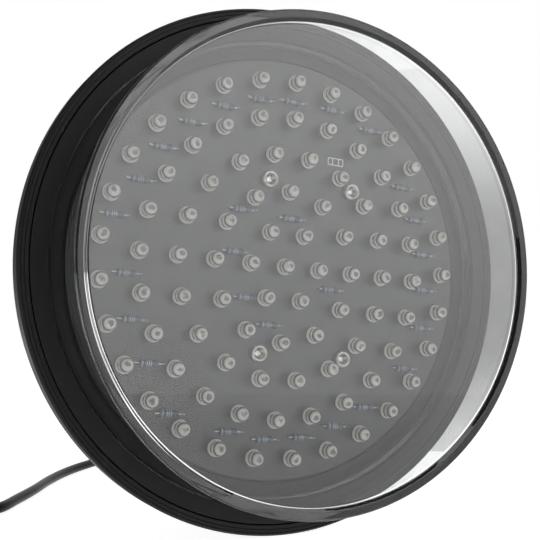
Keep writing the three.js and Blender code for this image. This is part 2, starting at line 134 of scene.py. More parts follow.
FLOOR = -FLANGE_RADIUS           # the surface that the flange's edge stands on
CABLE_DIAMETER = 4.0
COIL_CENTRE = (-117.0, 58.0)     # x and y
COIL_RADIUS = 23.0               # to the middle of the coil's section
# Each turn's radius, and its row from the bottom.
COIL_TURNS = [(27, 0), (23, 0), (19, 0), (19, 1), (23, 1), (27, 1), (27, 2), (27, 2)]
COIL_BOTTOM = FLOOR + 1.0
COIL_HEIGHT = 12.0
TIE_ANGLE = math.radians(215)
PLUG = (-144.0, -79.8)           # x and z of its axis
PLUG_START = 98.0
BOOT_LENGTH = 20.0
PLUG_COLLAR = PLUG_START + BOOT_LENGTH + GAP
COLLAR_LENGTH = 9.0
SOCKETS = (-2.2, 2.2)            # across from the connector's axis


# ------------------------------------------------------------------ mesh tools


def soften(corners, step=math.radians(15), hold=0.25):
    """Outline points from (radius, y, fillet) corners. Each fillet is an arc between two held points."""
    points = []
    count = len(corners)
    for i, (radius, y, fillet) in enumerate(corners):
        here = Vector((radius, y))
        if not fillet:
            points.append(tuple(here))
            continue
        before = (Vector(corners[i - 1][:2]) - here).normalized()
        after = (Vector(corners[(i + 1) % count][:2]) - here).normalized()
        half = before.angle(after) / 2
        reach = fillet / math.tan(half)
        centre = here + (before + after).normalized() * (fillet / math.sin(half))
        start = here + before * reach - centre
        turn = math.pi - 2 * half
        side = math.copysign(1, start.cross(here + after * reach - centre))
        steps = max(2, math.ceil(turn / step))
        held = min(hold, fillet)
        points.append(tuple(here + before * (reach + held)))
        for k in range(steps + 1):
            spin = Matrix.Rotation(side * turn * k / steps, 2)
            points.append(tuple(centre + spin @ start))
        points.append(tuple(here + after * (reach + held)))
    return points


def revolve(outline, segments=192, centre=(0, 0), closed=False, shape=None):
    """Turns (radius, y) points about the Y axis through centre. Points on the axis become one vertex.

    shape(radius, y, angle) gives another radius there, for flats and flutes.
    """
    bm = bmesh.new()
    rings = []
    for radius, y in outline:
        if radius < 1e-6:
            rings.append([bm.verts.new((centre[0], y, centre[1]))])
            continue
        ring = []
        for k in range(segments):
            angle = 2 * math.pi * k / segments
            r = shape(radius, y, angle) if shape else radius
            x, z = centre[0] + r * math.cos(angle), centre[1] + r * math.sin(angle)
            ring.append(bm.verts.new((x, y, z)))
        rings.append(ring)
    pairs = list(zip(rings, rings[1:]))
    if closed:
        pairs.append((rings[-1], rings[0]))
    for low, high in pairs:
        for k in range(segments):
            corners = ((low, k), (low, k + 1), (high, k + 1), (high, k))
            unique = list(dict.fromkeys(ring[i % len(ring)] for ring, i in corners))
            if len(unique) > 2:
                bm.faces.new(unique)
    bmesh.ops.recalc_face_normals(bm, faces=bm.faces)
    return bm


def rod(radius, first, last, segments=32, centre=(0, 0)):
    """A plain cylinder along Y between two y places."""
    return revolve([(0, first), (radius, first), (radius, last), (0, last)], segments, centre)


def tube(inner, outer, first, last, segments, centre=(0, 0)):
    """A plain pipe along Y between two y places."""
    outline = [(inner, first), (outer, first), (outer, last), (inner, last)]
    return revolve(outline, segments, centre, closed=True)


def hexagonal(across_flats, outside):
    """A revolve shape that trims radii over outside to a hexagon's flats."""
    def shape(radius, y, angle):
        flat = across_flats / 2 / math.cos((angle + math.pi / 6) % (math.pi / 3) - math.pi / 6)
        return min(radius, flat) if radius > outside else radius
    return shape


def fluted(count, depth, first_y, last_y, outside):
    """A revolve shape with round flutes in the outer surface between two y places."""
    def shape(radius, y, angle):
        if radius <= outside or not first_y < y < last_y:
            return radius
        return radius - depth * (0.5 + 0.5 * math.cos(count * angle))
    return shape


def rings_between(first, last, count, low, high):
    """Outline points of count rounded rings along the axis, between two radii that may taper."""
    points = []
    steps = 8
    for k in range(count * steps + 1):
        share = k / (count * steps)
        wave = 0.5 - 0.5 * math.cos(2 * math.pi * k / steps)
        inner = low[0] + (low[1] - low[0]) * share
        outer = high[0] + (high[1] - high[0]) * share
        points.append((inner + (outer - inner) * wave, first + (last - first) * share))
    return points


def box(size, centre=(0, 0, 0), bevel=0.0):
    """A block, with rounded edges where bevel isn't 0."""
    bm = bmesh.new()
    bmesh.ops.create_cube(bm, size=1)
    bmesh.ops.scale(bm, vec=size, verts=bm.verts)
    if bevel:
        bmesh.ops.bevel(bm, geom=bm.edges, offset=bevel, segments=2, profile=0.5, affect="EDGES")
    bmesh.ops.translate(bm, vec=centre, verts=bm.verts)
    return bm


def add_copies(target, source, matrices):
    """Adds source to target once for each matrix."""
    mesh = bpy.data.meshes.new("copy")
    source.to_mesh(mesh)
    for matrix in matrices:
        first = len(target.verts)
        target.from_mesh(mesh)
        target.verts.ensure_lookup_table()
        bmesh.ops.transform(target, matrix=matrix, verts=target.verts[first:])
    bpy.data.meshes.remove(mesh)


def repeated(part, matrices):
    """One bmesh holding a copy of the part for each matrix. It uses the part up."""
    whole = bmesh.new()
    add_copies(whole, part, matrices)
    part.free()
    return whole


def merged(*parts):
    """One bmesh holding all the parts. It uses them up."""
    whole = bmesh.new()
    for part in parts:
        add_copies(whole, part, [Matrix.Identity(4)])
        part.free()
    return whole


def at(x, y, z, turn):
    """A move to a place, after a turn about the light's axis."""
    return Matrix.Translation((x, y, z)) @ Matrix.Rotation(turn, 4, "Y")


def smooth_but_for_corners(mesh):
    """Smooth shading, with the corners left sharp."""
    mesh.polygons.foreach_set("use_smooth", [True] * len(mesh.polygons))
    mesh.set_sharp_from_angle(angle=CORNER)


def piece(name, bm, material, nodes=(), body=LIGHT):
    """Makes a bmesh in millimetres into a piece that rides on a CAD body and stands for CAD nodes."""
    bmesh.ops.scale(bm, vec=(MM, MM, MM), verts=bm.verts)
    mesh = bpy.data.meshes.new(name)
    bm.to_mesh(mesh)
    bm.free()
    smooth_but_for_corners(mesh)
    obj = bpy.data.objects.new(name, mesh)
    bpy.context.scene.collection.objects.link(obj)
    mesh.materials.append(material)
    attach(obj, body)
    if nodes:
        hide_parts(*nodes)
    return obj


def cut(obj, bm):
    """Cuts the bmesh's shape out of the object."""
    bmesh.ops.scale(bm, vec=(MM, MM, MM), verts=bm.verts)
    mesh = bpy.data.meshes.new("cutter")
    bm.to_mesh(mesh)
    bm.free()
    tool = bpy.data.objects.new("cutter", mesh)
    bpy.context.scene.collection.objects.link(tool)
    modifier = obj.modifiers.new("cut", "BOOLEAN")
    modifier.operation = "DIFFERENCE"
    modifier.object = tool
    modifier.solver = "EXACT"
    graph = bpy.context.evaluated_depsgraph_get()
    result = bpy.data.meshes.new_from_object(obj.evaluated_get(graph))
    obj.modifiers.remove(modifier)
    smooth_but_for_corners(result)
    obj.data = result
    bpy.data.objects.remove(tool)


# ------------------------------------------------------------------ materials


def shader(name, color, roughness, **inputs):
    """A Principled material, and its shader node, with constant inputs."""
    material = bpy.data.materials.new(name)
    material.use_nodes = True
    bsdf = material.node_tree.nodes["Principled BSDF"]
    bsdf.inputs["Base Color"].default_value = (*color, 1)
    bsdf.inputs["Roughness"].default_value = roughness
    for key, value in inputs.items():
        bsdf.inputs[key.replace("_", " ")].default_value = value
    return material, bsdf


def noise(material, per_mm, detail=3):
    """Noise of about per_mm blotches in each millimetre."""
    nodes, links = material.node_tree.nodes, material.node_tree.links
    place = nodes.new("ShaderNodeTexCoord")
    texture = nodes.new("ShaderNodeTexNoise")
    texture.inputs["Scale"].default_value = per_mm / MM
    texture.inputs["Detail"].default_value = detail
    links.new(place.outputs["Object"], texture.inputs["Vector"])
    return texture.outputs["Fac"]


def remap(tree, value, source=(0, 1), target=(0, 1), interpolation="LINEAR"):
    """The value with its source range taken to the target range, and held at the ends."""
    node = tree.nodes.new("ShaderNodeMapRange")
    node.interpolation_type = interpolation
    for socket, number in zip(("From Min", "From Max", "To Min", "To Max"), (*source, *target)):
        node.inputs[socket].default_value = number
    tree.links.new(value, node.inputs["Value"])
    return node.outputs["Result"]


def mottle(material, bsdf, value, dark, light):
    """Colour that wanders between dark and light with the value."""
    nodes, links = material.node_tree.nodes, material.node_tree.links
    ramp = nodes.new("ShaderNodeValToRGB")
    for stop, position, color in zip(ramp.color_ramp.elements, NOISE_RANGE, (dark, light)):
        stop.position = position
        stop.color = (*color, 1)
    links.new(value, ramp.inputs["Fac"])
    links.new(ramp.outputs["Color"], bsdf.inputs["Base Color"])


def vary_roughness(material, bsdf, value, low, high):
    """Roughness that wanders between low and high with the value."""
    rough = remap(material.node_tree, value, NOISE_RANGE, (low, high))
    material.node_tree.links.new(rough, bsdf.inputs["Roughness"])


def bump(material, bsdf, value, height_mm):
    """Relief of a height that follows the value."""
    nodes, links = material.node_tree.nodes, material.node_tree.links
    node = nodes.new("ShaderNodeBump")
    node.inputs["Distance"].default_value = height_mm * MM
    links.new(value, node.inputs["Height"])
    links.new(node.outputs["Normal"], bsdf.inputs["Normal"])


def moulded(name, color, roughness, grain=1.2, height=0.03, **inputs):
    """Moulded plastic or rubber: a fine grain, and slow wander in colour and gloss."""
    material, bsdf = shader(name, color, roughness, **inputs)
    bump(material, bsdf, noise(material, grain), height)
    slow = noise(material, 0.05, detail=4)
    mottle(material, bsdf, slow, [c * 0.85 for c in color], [c * 1.15 for c in color])
    vary_roughness(material, bsdf, slow, roughness * 0.9, roughness * 1.1)
    return material


def metal(name, color, roughness):
    """Bright metal with fine tool marks."""
    material, bsdf = shader(name, color, roughness, Metallic=1.0)
    marks = noise(material, 3.0, detail=5)
    bump(material, bsdf, marks, 0.01)
    mottle(material, bsdf, noise(material, 0.4), [c * 0.85 for c in color], color)
    vary_roughness(material, bsdf, marks, roughness * 0.8, roughness * 1.3)
    return material


def clear_polycarbonate():
    """Polished clear plastic, with the faintest wander in its gloss."""
    color = (0.965, 0.975, 0.97)
    material, bsdf = shader("clear_polycarbonate", color, 0.0, IOR=1.49, Transmission_Weight=1.0)
    vary_roughness(material, bsdf, noise(material, 0.03), 0.0, 0.015)
    return material


def led_epoxy():
    """Hazy clear epoxy, with rings across each LED: relief, and colour with painted highlights on the
    beads and painted shade in the grooves.
    """
    # dark is the painted shade in the grooves, and pale is the painted highlight on the beads.
    dark, pale = (0.1, 0.1, 0.1), (0.78, 0.76, 0.71)
    material, bsdf = shader("led_epoxy", pale, 0.08, IOR=1.5, Transmission_Weight=0.4)
    nodes, links = material.node_tree.nodes, material.node_tree.links
    place = nodes.new("ShaderNodeTexCoord")
    rings = nodes.new("ShaderNodeTexWave")
    rings.wave_type = "BANDS"
    rings.bands_direction = "Y"
    # A wave texture of scale 1 repeats every pi / 10.
    rings.inputs["Scale"].default_value = math.pi / 10 / (LED_RING_SPACING * MM)
    rings.inputs["Distortion"].default_value = 1.8
    # A half turn of phase puts the painted highlight on the beads and the painted shade in the grooves.
    rings.inputs["Phase Offset"].default_value = math.pi
    rings.inputs["Detail Scale"].default_value = 3
    links.new(place.outputs["Object"], rings.inputs["Vector"])
    bump(material, bsdf, rings.outputs["Fac"], 0.3)
    # The rings paint highlight and shade into the epoxy's colour.
    mottle(material, bsdf, rings.outputs["Fac"], dark, pale)
    return material


MATERIALS = {
    "black_plastic": moulded("black_plastic", (0.012, 0.012, 0.012), 0.45, Specular_IOR_Level=0.15),
    "clear_polycarbonate": clear_polycarbonate(),
    "led_epoxy": led_epoxy(),
    "seal_rubber": moulded("seal_rubber", (0.03, 0.03, 0.03), 0.7),
    "steel": metal("steel", (0.5, 0.49, 0.46), 0.33),
    "lead_frame": metal("lead_frame", (0.82, 0.81, 0.78), 0.25),
    "brass": metal("brass", (0.72, 0.52, 0.25), 0.32),
    "phosphor": moulded("phosphor", (0.8, 0.7, 0.42), 0.6),
    "board": moulded("board", (0.012, 0.013, 0.014), 0.4, grain=0.8, height=0.003),
    "driver_board": moulded("driver_board", (0.02, 0.12, 0.05), 0.4, grain=0.8, height=0.01),
    "print": moulded("print", (0.75, 0.75, 0.72), 0.6),
    "resistor": moulded("resistor", (0.03, 0.055, 0.1), 0.22),
    "band": moulded("band", (0.22, 0.24, 0.28), 0.4),
    "sleeve": moulded("sleeve", (0.02, 0.024, 0.035), 0.35),
    "terminal": moulded("terminal", (0.03, 0.2, 0.08), 0.4),
    "red": moulded("red", (0.4, 0.02, 0.015), 0.4),
    "blue": moulded("blue", (0.02, 0.07, 0.27), 0.4),
    "brown": moulded("brown", (0.1, 0.035, 0.015), 0.4),
    "black_wire": moulded("black_wire", (0.01, 0.01, 0.01), 0.4),
    "rubber": moulded("rubber", (0.014, 0.014, 0.014), 0.6, grain=2.0),
    "sheath": moulded("sheath", (0.004, 0.004, 0.004), 0.25, height=0.005, Specular_IOR_Level=0.05),
}


# ------------------------------------------------------------------ lens and flange


def lens():
    """The clear cup. Its flat window is set a little back from a rim around it."""
    window = LENS_FRONT + WINDOW_RECESS
    back_of_window = window + LENS_WINDOW
    outline = soften([
        (0, window, 0),
        (WINDOW_RADIUS, window, 0.4),
        (WINDOW_RADIUS + WINDOW_SLOPE, LENS_FRONT, 0.4),
        (LENS_RADIUS, LENS_FRONT, LENS_EDGE),
        (LENS_BASE_RADIUS, LENS_FOOT_FRONT, 0.3),
        (LENS_FOOT_RADIUS, LENS_FOOT_FRONT, 0.3),
        (LENS_FOOT_RADIUS, LENS_FOOT_BACK, 0.3),
        (LENS_BASE_RADIUS - LENS_WALL, LENS_FOOT_BACK, 0.3),
        (LENS_RADIUS - LENS_WALL, back_of_window, LENS_INNER_FILLET),
        (0, back_of_window, 0),
    ])
    clear = MATERIALS["clear_polycarbonate"]
    piece("lens", revolve(outline, 256), clear, ["lens_cup"])


def gasket():
    """The rubber ring behind the lens's foot."""
    outline = soften([
        (76.5, -2.5, 0.3), (81.5, -2.5, 0.3), (81.5, -3.5, 0.3), (76.5, -3.5, 0.3),
    ], hold=0.05)
    ring = revolve(outline, closed=True)
    piece("gasket", ring, MATERIALS["seal_rubber"], ["lens_gasket"])


def clamp_ring():
    """The ring that holds the lens's foot down, stepped over the foot."""
    inner = LENS_BASE_RADIUS + 0.35
    outer = RIM_INNER_RADIUS - GAP
    step = LENS_FOOT_RADIUS + GAP
    outline = soften([
        (inner, FLANGE_FRONT, 0.15),
        (outer, FLANGE_FRONT, 0.3),
        (outer, FLANGE_FLOOR - GAP, 0.3),
        (step, FLANGE_FLOOR - GAP, 0.3),
        (step, LENS_FOOT_FRONT - GAP, 0.2),
        (inner, LENS_FOOT_FRONT - GAP, 0.3),
    ], hold=0.1)
    ring = revolve(outline, closed=True)
    piece("lens_clamp_ring", ring, MATERIALS["black_plastic"], ["clamp_ring"])


def groove(radius):
    """Corners of a fine groove in the flange's front rim, from its outer edge inwards."""
    depth, width, lean = 0.4, 0.3, 0.05
    return [
        (radius, FLANGE_FRONT, 0), (radius - lean, FLANGE_FRONT + depth, 0),
        (radius - width + lean, FLANGE_FRONT + depth, 0), (radius - width, FLANGE_FRONT, 0),
    ]


def flange():
    """The mounting flange, with fine grooves in its front rim and a recess for the shell behind."""
    recess = SHELL_SEAT - GAP
    grooves = [corner for radius in RIM_GROOVES for corner in groove(radius)]
    outline = soften([
        (SHELL_SEAT_RADIUS, 0, 0.2),
        (FLANGE_RADIUS, 0, 0.6),
        (FLANGE_RADIUS, -6.3, 0.3),
        (FLANGE_RADIUS - 0.6, FLANGE_FRONT, 0.2),
        *grooves,
        (RIM_INNER_RADIUS, FLANGE_FRONT, 0.3),
        (RIM_INNER_RADIUS, FLANGE_FLOOR, 0.3),
        (FLANGE_HOLE_RADIUS, FLANGE_FLOOR, 0.3),
        (FLANGE_HOLE_RADIUS, recess, 0.1),
        (SHELL_SEAT_RADIUS, recess, 0),
    ], hold=0.03)
    ring = revolve(outline, closed=True)
    piece("mounting_flange", ring, MATERIALS["black_plastic"], ["flange"])


def rib():
    """One of the shell's ribs, standing in the plane of x and y."""
    outline = [
        (74, SHELL_SEAT), (SHELL_SEAT_RADIUS - 0.5, SHELL_SEAT), (78, 12), (72.2, 31),
        (62.4, 46.2), (61, 44.6), (72.4, 14),
    ]
    bm = bmesh.new()
    face = bm.faces.new([bm.verts.new((radius, y, -RIB_THICKNESS / 2)) for radius, y in outline])
    made = bmesh.ops.extrude_face_region(bm, geom=[face])
    far = [v for v in made["geom"] if isinstance(v, bmesh.types.BMVert)]
    bmesh.ops.translate(bm, vec=(0, 0, RIB_THICKNESS), verts=far)
    bmesh.ops.recalc_face_normals(bm, faces=bm.faces)
    bmesh.ops.bevel(bm, geom=list(bm.edges), offset=0.4, segments=2, profile=0.5, affect="EDGES")
    return bm


def rear_shell():
    """The bowl behind the flange, its outer ribs and the two posts that carry the driver."""
    lip = FLANGE_HOLE_RADIUS - GAP
    lip_front = SHELL_SEAT - GAP
    outline = soften([
        (0, SHELL_BACK, 0),
        (50, SHELL_BACK, 2.5),
        (55, 54, 4),
        (62, 46, 8),
        (70, 30, 10),
        (75, 12, 10),
        (76.4, SHELL_SEAT, 0.3),
        (lip, SHELL_SEAT, 0),
        (lip, lip_front, 0.1),
        (lip - 2, lip_front, 0.3),
        (lip - 2, 12, 3),
        (67, 27, 4),
        (59.4, 43, 4),
        (52.8, 51.4, 2),
        (48.5, 55, 2),
        (0, 55, 0),
    ], hold=0.1)
    plastic = MATERIALS["black_plastic"]
    shell = piece("shell", revolve(outline), plastic, ["rear_shell"])
    cut(shell, rod(6.4, 50, 60, 48, GLAND))
    turns = [2 * math.pi * (k + 0.5) / RIB_COUNT for k in range(RIB_COUNT)]
    ribs = repeated(rib(), [Matrix.Rotation(turn, 4, "Y") for turn in turns])
    piece("shell_ribs", ribs, plastic)
    posts = merged(*[tube(1.6, 3.2, 44.3, 57, 32, place) for place in DRIVER_POSTS])
    piece("driver_posts", posts, plastic)


# ------------------------------------------------------------------ screws


def screw(name, outline, place, recess_y, turn, node):
    """A turned screw with a cross recess, which is centred at recess_y."""
    obj = piece(name, revolve(outline, 40, place), MATERIALS["steel"], [node])
    for quarter in (0, 1):
        arm = box((3.4, 2.2, 0.8))
        move = at(place[0], recess_y, place[1], turn + quarter * math.pi / 2)
        bmesh.ops.transform(arm, matrix=move, verts=arm.verts)
        cut(obj, arm)


def board_screws():
    """Screws through the LED board, each head with a raised rim and each at a turn of its own."""
    face = BOARD_FRONT - GAP
    outline = soften([
        (0, face - 0.3, 0), (0.9, face - 0.3, 0.2), (2.0, face - 1.9, 0.1), (2.45, face - 2.1, 0.15),
        (2.95, face - 1.6, 0.2), (3.0, face, 0.1), (1.4, face, 0), (1.4, face + 8, 0.3), (0, face + 8, 0),
    ], hold=0.03)
    for i, place in enumerate(BOARD_SCREWS):
        name, node = f"led_board_screw_{i + 1}", f"board_screw_{i + 1}"
        screw(name, outline, on_board(*place), face - 1.0, 0.4 + 0.9 * i, node)


def flange_screws():
    """Countersunk screws from the back of the flange into the clamp ring."""
    outline = soften([
        (0, -6.2, 0), (0.75, -6.0, 0.1), (0.75, -1.6, 0), (2.5, -0.15, 0.05), (2.45, -0.05, 0.03),
        (0, -0.05, 0),
    ], hold=0.02)
    for i in range(FLANGE_SCREW_COUNT):
        angle = 2 * math.pi * i / FLANGE_SCREW_COUNT
        place = FLANGE_SCREW_RADIUS * math.cos(angle), FLANGE_SCREW_RADIUS * math.sin(angle)
        screw(f"clamp_screw_{i + 1}", outline, place, 0.4, 0.3 + 0.7 * i, f"flange_screw_{i + 1}")


# ------------------------------------------------------------------ LED board


def on_board(x, z):
    """The light's x and z of a place on the board."""
    c, s = math.cos(BOARD_TURN), math.sin(BOARD_TURN)
    return x * c - z * s, x * s + z * c


def led_places(count, start, number):
    """The light's x and z of each LED in a ring, from its first angle on."""
    radius = LED_PITCH * number
    for k in range(count):
        angle = math.radians(start) - 2 * math.pi * k / count
        yield on_board(radius * math.cos(angle), radius * math.sin(angle))


def led_body():
    """One LED's clear body in front of y = 0, pointing at -Y, gently ringed from its rim to its tip."""
    base = -LED_STANDOFF
    first = base - 1.1
    outline = soften([
        (0, base, 0),
        (LED_RIM_RADIUS, base, 0.15),
        (LED_RIM_RADIUS, base - 1.0, 0.2),
        (LED_RADIUS, first, 0),
    ], hold=0.1, step=math.radians(45))
    steps = 18
    length = LED_HEIGHT + first
    for k in range(1, steps):
        along = length * k / steps
        into_dome = max(0.0, along - length + LED_RADIUS)
        envelope = math.sqrt(LED_RADIUS ** 2 - into_dome ** 2)
        ring = 0.5 - 0.5 * math.cos(2 * math.pi * along / LED_RING_SPACING)
        outline.append((envelope * (1 - LED_RING_DEPTH * ring), first - along))
    outline.append((0, -LED_HEIGHT))
    return revolve(outline, 24)


def led_frame():
    """The two posts inside an LED, one with the reflector cup."""
    cup = revolve(soften([
        (0, -3.7, 0), (0.5, -3.7, 0.1), (0.75, -4.4, 0.05), (0.6, -4.4, 0.05), (0.4, -4.0, 0.05),
        (0, -4.0, 0),
    ], hold=0.03), 16)
    anvil = box((1.1, 0.9, 0.4), (0, -3.4, 0), 0.08)
    cathode = box((0.45, 3.0, 0.4), (0.4, -1.5, 0), 0.06)
    anode = box((0.45, 3.8, 0.4), (-1.1, -1.9, 0), 0.06)
    flag = box((0.6, 0.7, 0.4), (-1.1, -3.8, 0), 0.06)
    return merged(cup, anvil, cathode, anode, flag)


def led_phosphor():
    """The spot of phosphor in the reflector cup."""
    outline = soften([(0, -4.02, 0), (0.38, -4.02, 0), (0.5, -4.35, 0), (0, -4.45, 0)], hold=0.03)
    return revolve(outline, 16)


def leds(name, places, node):
    """One ring of LEDs: clear bodies, metal frames and phosphor."""
    moves = [at(x, BOARD_FRONT - GAP, z, -BOARD_TURN) for x, z in places]
    for suffix, part, material, nodes, slot in (
        ("", led_body(), "led_epoxy", [node], "clear_led_epoxy"),
        ("_frames", led_frame(), "lead_frame", (), "stainless_steel"),
        ("_phosphor", led_phosphor(), "phosphor", (), "brass"),
    ):
        piece(name + suffix, repeated(part, moves), MATERIALS[material], nodes)


def all_leds():
    """The centre LED and the rings around it."""
    leds("centre_led", [(0, 0)], "led_centre")
    for i, (count, start) in enumerate(LED_RINGS, start=1):
        leds(f"leds_{i}", list(led_places(count, start, i)), f"led_ring_{i}")


def board():
    """The LED board, with a hole for each of its screws."""
    disc = revolve(soften([
        (0, BOARD_FRONT, 0),
        (BOARD_RADIUS, BOARD_FRONT, 0.1),
        (BOARD_RADIUS, BOARD_BACK, 0.1),
        (0, BOARD_BACK, 0),
    ], hold=0.1), 128)
    obj = piece("circuit_board", disc, MATERIALS["board"], ["led_board"])
    for place in BOARD_SCREWS:
        cut(obj, rod(1.8, -4, 0, centre=on_board(*place)))


def resistor_places():
    """The middle of each resistor: the outer ones in arcs between the LEDs, then the inner ones."""
    for first, step, count, radius, growth in RESISTOR_ARCS:
        for k in range(count):
            angle = math.radians(first + step * k)
            reach = radius + growth * k
            yield on_board(reach * math.cos(angle), reach * math.sin(angle))
    for place in INNER_RESISTORS:
        yield on_board(*place)


def resistor_body():
    """A resistor's coated body along Y, thicker at its two ends."""
    end = RESISTOR_LENGTH / 2
    return revolve(soften([
        (0, -end, 0),
        (RESISTOR_RADIUS, -end, 0.5),
        (RESISTOR_RADIUS, 0.8 - end, 0.3),
        (RESISTOR_WAIST, 1.5 - end, 0.3),
        (RESISTOR_WAIST, end - 1.5, 0.3),
        (RESISTOR_RADIUS, end - 0.8, 0.3),
        (RESISTOR_RADIUS, end, 0.5),
        (0, end, 0),
    ], hold=0.05, step=math.radians(30)), 16)


def resistor_bands():
    """A resistor's colour bands: three round its waist and one round its end."""
    places = [(RESISTOR_WAIST, y) for y in (-0.9, -0.2, 0.5)]
    places.append((RESISTOR_RADIUS, RESISTOR_LENGTH / 2 - 1.1))
    width = 0.35
    return merged(*[tube(radius - 0.1, radius + 0.02, y, y + width, 16) for radius, y in places])


def resistor_leads():
    """The leads along Y out of both ends, and down into the board."""
    bend = RESISTOR_SPAN / 2
    thickness = 0.44
    along = rod(thickness / 2, -bend, bend, 10)
    downs = [box((1.6, thickness, thickness), (-0.55, y, 0), 0.15) for y in (-bend, bend)]
    return merged(along, *downs)


def resistors():
    """Resistors lying along the board's own x, a little in front of its face."""
    lie_down = Matrix.Rotation(math.pi / 2, 4, "Z")
    height = BOARD_FRONT - RESISTOR_RADIUS - 0.1
    moves = [at(x, height, z, -BOARD_TURN) @ lie_down for x, z in resistor_places()]
    for suffix, part, material in (
        ("", resistor_body(), "resistor"),
        ("_bands", resistor_bands(), "band"),
        ("_leads", resistor_leads(), "steel"),
    ):
        piece("resistors" + suffix, repeated(part, moves), MATERIALS[material])


def printed_outline():
    """The white outline of one part printed on the board, with the two lines that mark its ends."""
    line, thickness = 0.3, 0.06
    half_length, half_width, half_middle = 3.0, 1.2, 1.2
    bars = [box((2 * half_length, thickness, line), (0, 0, z)) for z in (-half_width, half_width)]
    for x in (-half_length, -half_middle, half_middle, half_length):
        bars.append(box((line, thickness, 2 * half_width), (x, 0, 0)))
    bm = merged(*bars)
    x, z = on_board(*OUTLINE_PLACE)
    bmesh.ops.transform(bm, matrix=at(x, BOARD_FRONT, z, -BOARD_TURN), verts=bm.verts)
    piece("printed_outline", bm, MATERIALS["print"])


# ------------------------------------------------------------------ cable


def cable_route():
    """The cable's line: out of the relief, down to the floor, round the coil and into the plug."""
    loose = [
        (7, RELIEF_END + GAP, -36), (7, 116, -36.5), (8, 126, -40), (12, 137, -49), (18, 147, -62),
        (24, 157, -75), (27, 168, -84), (24, 179, -86.7), (15, 186, -86.7), (3, 186, -86.7),
        (-9, 179, -86.7), (-20, 167, -86.7), (-36, 147, -86.7), (-50, 124, -86.7), (-61, 102, -86.7),
        (-71, 84, -86.7), (-79, 70.5, -86.7),
    ]
    tail_end = (PLUG_START - GAP, PLUG[1])
    tail = [(PLUG[0], y, z) for y, z in ((74.3, -78.5), (82, -79), (90, -79.5), tail_end)]
    return [*loose, *coil_route(), *tail]


def coil_route():
    """Points round the coil, clockwise from above, from its +x side to its -x side."""
    points = []
    per_turn = 20
    half_turns = 2 * len(COIL_TURNS) - 1
    for k in range(half_turns * per_turn // 2 + 1):
        turn = k / per_turn
        radius, row = blended_turn(turn)
        angle = -2 * math.pi * turn
        x = COIL_CENTRE[0] + radius * math.cos(angle)
        y = COIL_CENTRE[1] + radius * math.sin(angle)
        z = COIL_BOTTOM + CABLE_DIAMETER * (row + 0.5)
        points.append((x, y, z))
    return points


def blended_turn(turn):
    """Radius and row part way round a turn. The last quarter of each turn crosses over to the next."""
    last = len(COIL_TURNS) - 1
    i = min(int(turn), last)
    here = Vector(COIL_TURNS[i])
    after = Vector(COIL_TURNS[min(i + 1, last)])
    cross = max(0.0, (turn - i - 0.75) / 0.25)
    return here.lerp(after, cross * cross * (3 - 2 * cross))


def cable():
    """The cable as a round curve, with its length and the place where it leaves the light."""
    points = cable_route()
    curve = bpy.data.curves.new("supply_cable", "CURVE")
    curve.dimensions = "3D"
    curve.bevel_depth = CABLE_DIAMETER / 2 * MM
    curve.bevel_resolution = 5
    curve.resolution_u = 6
    curve.use_fill_caps = True
    spline = curve.splines.new("BEZIER")
    spline.bezier_points.add(len(points) - 1)
    for knot, point in zip(spline.bezier_points, points):
        knot.co = Vector(point) * MM
        knot.handle_left_type = knot.handle_right_type = "AUTO"
    obj = bpy.data.objects.new("supply_cable", curve)
    bpy.context.scene.collection.objects.link(obj)
    curve.materials.append(MATERIALS["sheath"])
    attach(obj, LIGHT)
    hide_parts("cable", "cable_coil", "cable_tail")
    length = sum((Vector(b) - Vector(a)).length for a, b in zip(points, points[1:])) * MM
    return obj, length, Vector(points[0]) * MM


# ------------------------------------------------------------------ gland


def gland():
    """The gland's body, nut, locknut, washer and seal, and the cable that passes through them."""
    body = soften([
        (4.2, 46, 0.2), (6, 46, 0.3), (6, 59.7, 0), (7.4, 59.7, 0), (7.8, 59.9, 0), (8.2, 60.1, 0),
        (8.7, 60.4, 0), (8.7, 65.3, 0), (8.2, 65.6, 0), (7.8, 65.8, 0), (7.4, GLAND_BODY_END, 0),
        (6, GLAND_BODY_END, 0), (6, 72, 0.3), (4.2, 72, 0.2),
    ], hold=0.05)
    nut = soften([
        (6.4, 66.3, 0.1), (7.4, 66.3, 0), (7.8, 66.5, 0), (8.2, 66.7, 0), (8.7, 67, 0), (8.7, 72.6, 0),
        (8.2, 72.9, 0), (7.8, 73.1, 0), (7.4, 73.3, 0), (7.05, 73.3, 0.1), (6.5, 75.8, 0.8),
        (4.4, GLAND_NUT_END, 0.4), (3.4, GLAND_NUT_END, 0.2), (3.4, 72.7, 0), (6.4, 72.7, 0),
    ], hold=0.05)
    locknut = [(6.4, 50.7), (9.2, 50.7), (9.8, 51.2), (9.8, 54.2), (9.2, 54.7), (6.4, 54.7)]
    washer = soften([(6.5, 58.3, 0.2), (8.4, 58.3, 0.3), (8.4, 59.4, 0.3), (6.5, 59.4, 0.2)], hold=0.05)
    seal = soften([(2.4, 62, 0.2), (3.8, 62, 0.2), (3.8, 71.5, 0.2), (2.4, 71.5, 0.2)], hold=0.05)
    for part, outline, shape, material, slot in (
        ("gland_body", body, hexagonal(15, 6.5), "black_plastic", "black_plastic"),
        ("gland_nut", nut, hexagonal(15, 7.2), "black_plastic", "black_plastic"),
        ("gland_locknut", locknut, hexagonal(17, 6.5), "black_plastic", "black_plastic"),
        ("gland_washer", washer, None, "rubber", "seal_rubber"),
        ("gland_seal", seal, None, "rubber", "seal_rubber"),
    ):
        ring = revolve(outline, 96, GLAND, closed=True, shape=shape)
        piece(f"cable_{part}", ring, MATERIALS[material], [part])
    cable_end = rod(CABLE_DIAMETER / 2, 47, RELIEF_END + GAP, 24, GLAND)
    piece("cable_through_gland", cable_end, MATERIALS["sheath"], ["cable_entry"])


